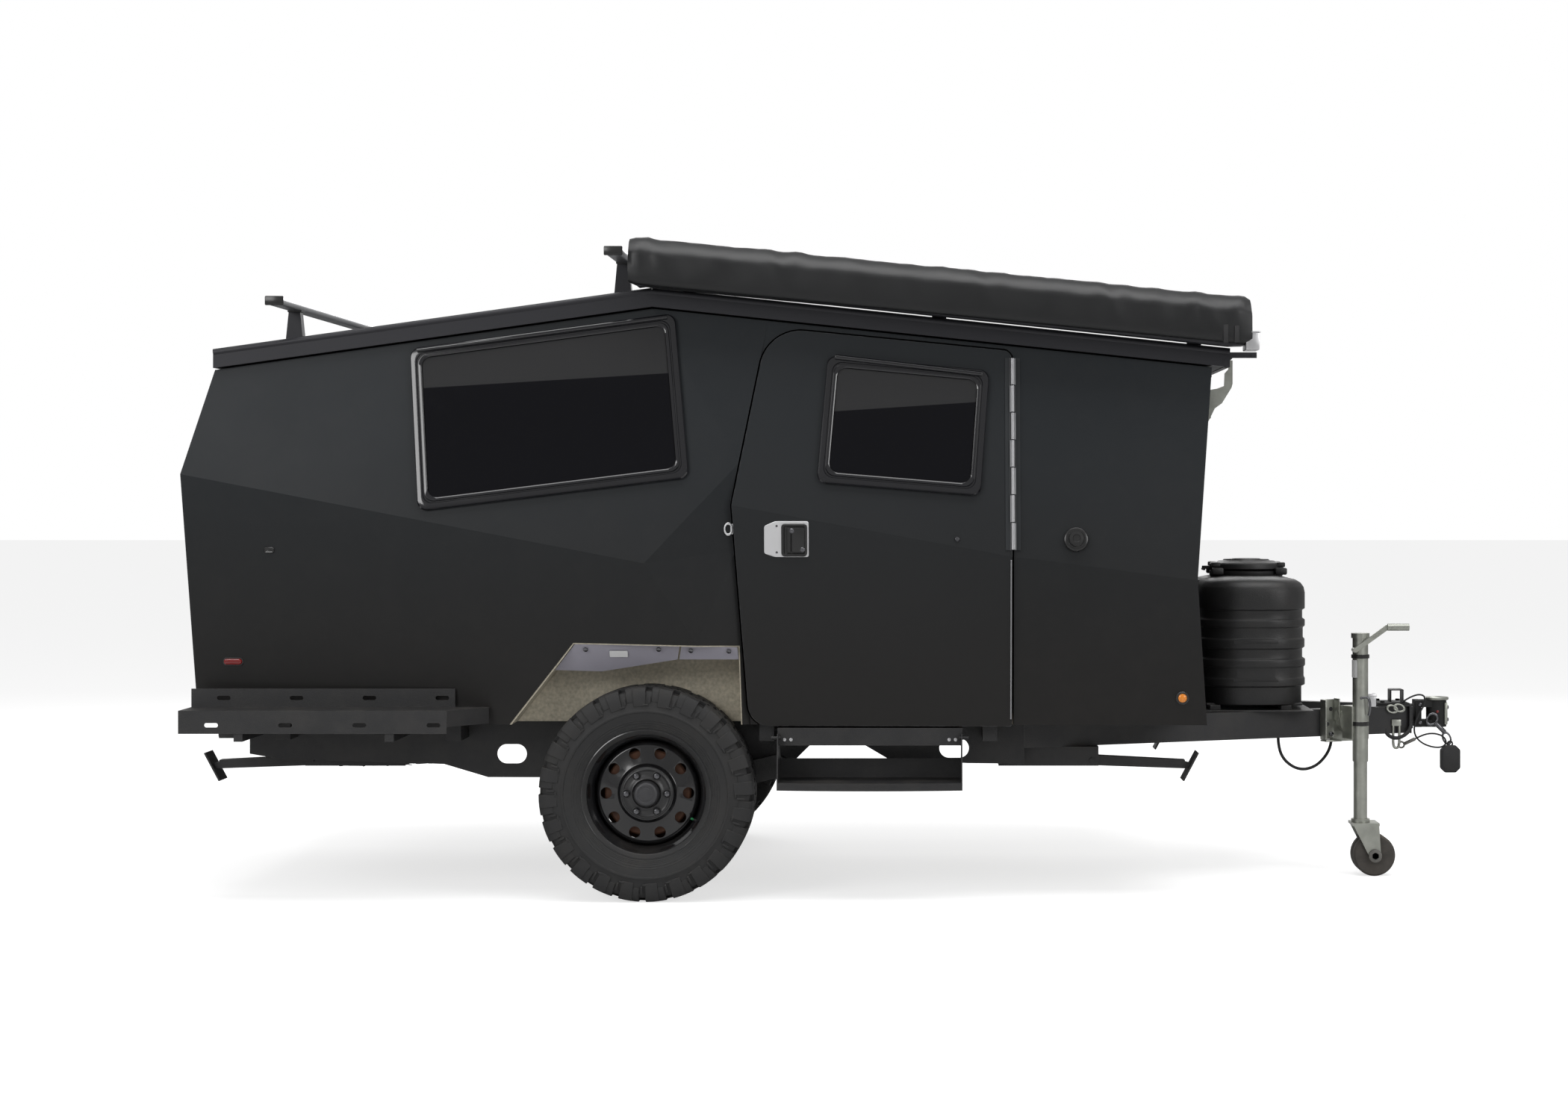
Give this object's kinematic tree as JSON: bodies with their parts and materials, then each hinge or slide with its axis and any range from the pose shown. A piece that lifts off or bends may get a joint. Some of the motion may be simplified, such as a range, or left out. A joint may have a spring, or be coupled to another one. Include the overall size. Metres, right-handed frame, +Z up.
{
  "type": "compact off-road travel trailer",
  "caption": "Faceted off-road travel trailer with a pop-up roof, side door, roof bars, bagged awning, gas cylinder cover, drop step and caster jack on an A-frame tongue.",
  "frame": {"origin": "on the ground on the centreline, midway between the rear-most and the front-most point", "axes": "+X forward to the coupler, +Y to the left, +Z up"},
  "size_m": [4.516, 2.18, 2.274],
  "materials": {
    "arch_beige": "speckled coat",
    "bag_black": "coated fabric",
    "bar_aluminium": "satin aluminium",
    "cabinet_white": "painted board",
    "cast_black": "worn black casting",
    "caster_rubber": "worn black rubber",
    "chassis_black": "black powder coat",
    "cord_black": "black rubber",
    "cover_plastic": "black moulded plastic",
    "door_black": "satin painted composite panel",
    "drum_rust": "brown cast iron",
    "fender_grey": "pale satin coat",
    "fitting_black": "black moulding",
    "floor_board": "sealed board",
    "frame_gloss": "gloss black",
    "glass_tint": "tinted pane",
    "hinge_steel": "satin steel",
    "hull_black": "satin painted composite panel",
    "lamp_red": "red lens",
    "mattress_grey": "woven cover",
    "rail_black": "black anodised rail",
    "rim_gloss": "gloss black",
    "spring_rubber": "black rubber",
    "tent_grey": "woven canvas",
    "tyre_rubber": "black rubber",
    "zinc": "zinc plate"
  },
  "bodies": {
    "trailer": {"coupler_mount": "chassis_black", "cross_members": "chassis_black", "door_hinge": "hinge_steel", "drop_step": "chassis_black", "fender_plates": "fender_grey", "floor_panel": "floor_board", "gas_cover": "cover_plastic", "gas_hose": "cord_black", "hull_fittings": "fitting_black", "hull_front": "hull_black", "hull_lamps": "lamp_red", "hull_rear": "hull_black", "hull_side_left": "hull_black", "hull_side_right": "hull_black", "interior_cabinets": "cabinet_white", "jack_bracket": "zinc", "main_rails": "chassis_black", "mattress": "mattress_grey", "roof_lift": "zinc", "rubber_springs": "spring_rubber", "side_shelves": "chassis_black", "spare_carrier": "chassis_black", "spare_rim": "rim_gloss", "spare_tyre": "tyre_rubber", "stabilizer_mounts": "chassis_black", "suspension_arms": "chassis_black", "tent_skirt": "tent_grey", "tongue_rails": "chassis_black", "wheel_arches": "arch_beige", "window_frames": "frame_gloss", "window_glass": "glass_tint"},
    "wheel_right": {"tyre_right": "tyre_rubber", "rim_right": "rim_gloss", "hub_right": "drum_rust"},
    "wheel_left": {"tyre_left": "tyre_rubber", "rim_left": "rim_gloss", "hub_left": "drum_rust"},
    "side_door": {"door_panel": "door_black", "door_hinge_leaf": "hinge_steel", "door_window_frame": "frame_gloss", "door_window_glass": "glass_tint", "door_handle": "bar_aluminium"},
    "pop_up_roof": {"roof_panel": "hull_black", "roof_rails": "rail_black", "roof_bars": "bar_aluminium", "roof_fittings": "rail_black", "awning_bag": "bag_black"},
    "gas_lid": {"gas_cover_lid": "cover_plastic"},
    "coupler": {"coupler_head": "cast_black"},
    "jack_body": {"jack_tube": "zinc"},
    "jack_inner": {"jack_leg": "zinc"},
    "jack_caster": {"jack_fork": "zinc"},
    "jack_wheel_pair": {"jack_wheels": "caster_rubber"},
    "leg_front_right": {"stabilizer_leg_front_right": "chassis_black"},
    "leg_front_left": {"stabilizer_leg_front_left": "chassis_black"},
    "leg_rear_right": {"stabilizer_leg_rear_right": "chassis_black"},
    "leg_rear_left": {"stabilizer_leg_rear_left": "chassis_black"}
  },
  "joints": [
    {"name": "wheel_right_spin", "type": "hinge", "parent": "trailer", "child": "wheel_right", "pos_m": [-0.654, -0.89, 0.3675], "axis": [0, 1, 0], "continuous": true},
    {"name": "wheel_left_spin", "type": "hinge", "parent": "trailer", "child": "wheel_left", "pos_m": [-0.654, 0.89, 0.3675], "axis": [0, 1, 0], "continuous": true},
    {"name": "side_door_hinge", "type": "hinge", "parent": "trailer", "child": "side_door", "pos_m": [0.598, -0.9977, 1.2], "axis": [0, 0.1532, 0.9882], "range_deg": [0, 95]},
    {"name": "roof_hinge", "type": "hinge", "parent": "trailer", "child": "pop_up_roof", "pos_m": [-2.176, 0, 1.814], "axis": [0, -1, 0], "range_deg": [0, 12]},
    {"name": "gas_lid_hinge", "type": "hinge", "parent": "trailer", "child": "gas_lid", "pos_m": [1.3425, 0, 1.1113], "axis": [0, -1, 0], "range_deg": [0, 90]},
    {"name": "coupler_roll", "type": "hinge", "parent": "trailer", "child": "coupler", "pos_m": [2.106, 0, 0.571], "axis": [1, 0, 0], "continuous": true},
    {"name": "jack_swivel", "type": "hinge", "parent": "trailer", "child": "jack_body", "pos_m": [1.8576, -0.21611, 0.556], "axis": [-0.3973, 0.9177, 0], "range_deg": [0, 90]},
    {"name": "jack_extend", "type": "slide", "parent": "jack_body", "child": "jack_inner", "axis": [0, 0, -1], "range_m": [-0.19, 0.08]},
    {"name": "jack_caster_swivel", "type": "hinge", "parent": "jack_inner", "child": "jack_caster", "pos_m": [1.88938, -0.28953, 0.192], "axis": [0, 0, 1], "continuous": true},
    {"name": "jack_wheels_spin", "type": "hinge", "parent": "jack_caster", "child": "jack_wheel_pair", "pos_m": [1.93438, -0.28953, 0.076], "axis": [0, 1, 0], "continuous": true},
    {"name": "leg_front_right_fold", "type": "hinge", "parent": "trailer", "child": "leg_front_right", "pos_m": [0.886, -0.61, 0.452], "axis": [0, 1, 0], "range_deg": [0, 80]},
    {"name": "leg_front_left_fold", "type": "hinge", "parent": "trailer", "child": "leg_front_left", "pos_m": [0.886, 0.61, 0.452], "axis": [0, 1, 0], "range_deg": [0, 80]},
    {"name": "leg_rear_right_fold", "type": "hinge", "parent": "trailer", "child": "leg_rear_right", "pos_m": [-1.869, -0.61, 0.452], "axis": [0, -1, 0], "range_deg": [0, 80]},
    {"name": "leg_rear_left_fold", "type": "hinge", "parent": "trailer", "child": "leg_rear_left", "pos_m": [-1.869, 0.61, 0.452], "axis": [0, -1, 0], "range_deg": [0, 80]}
  ]
}
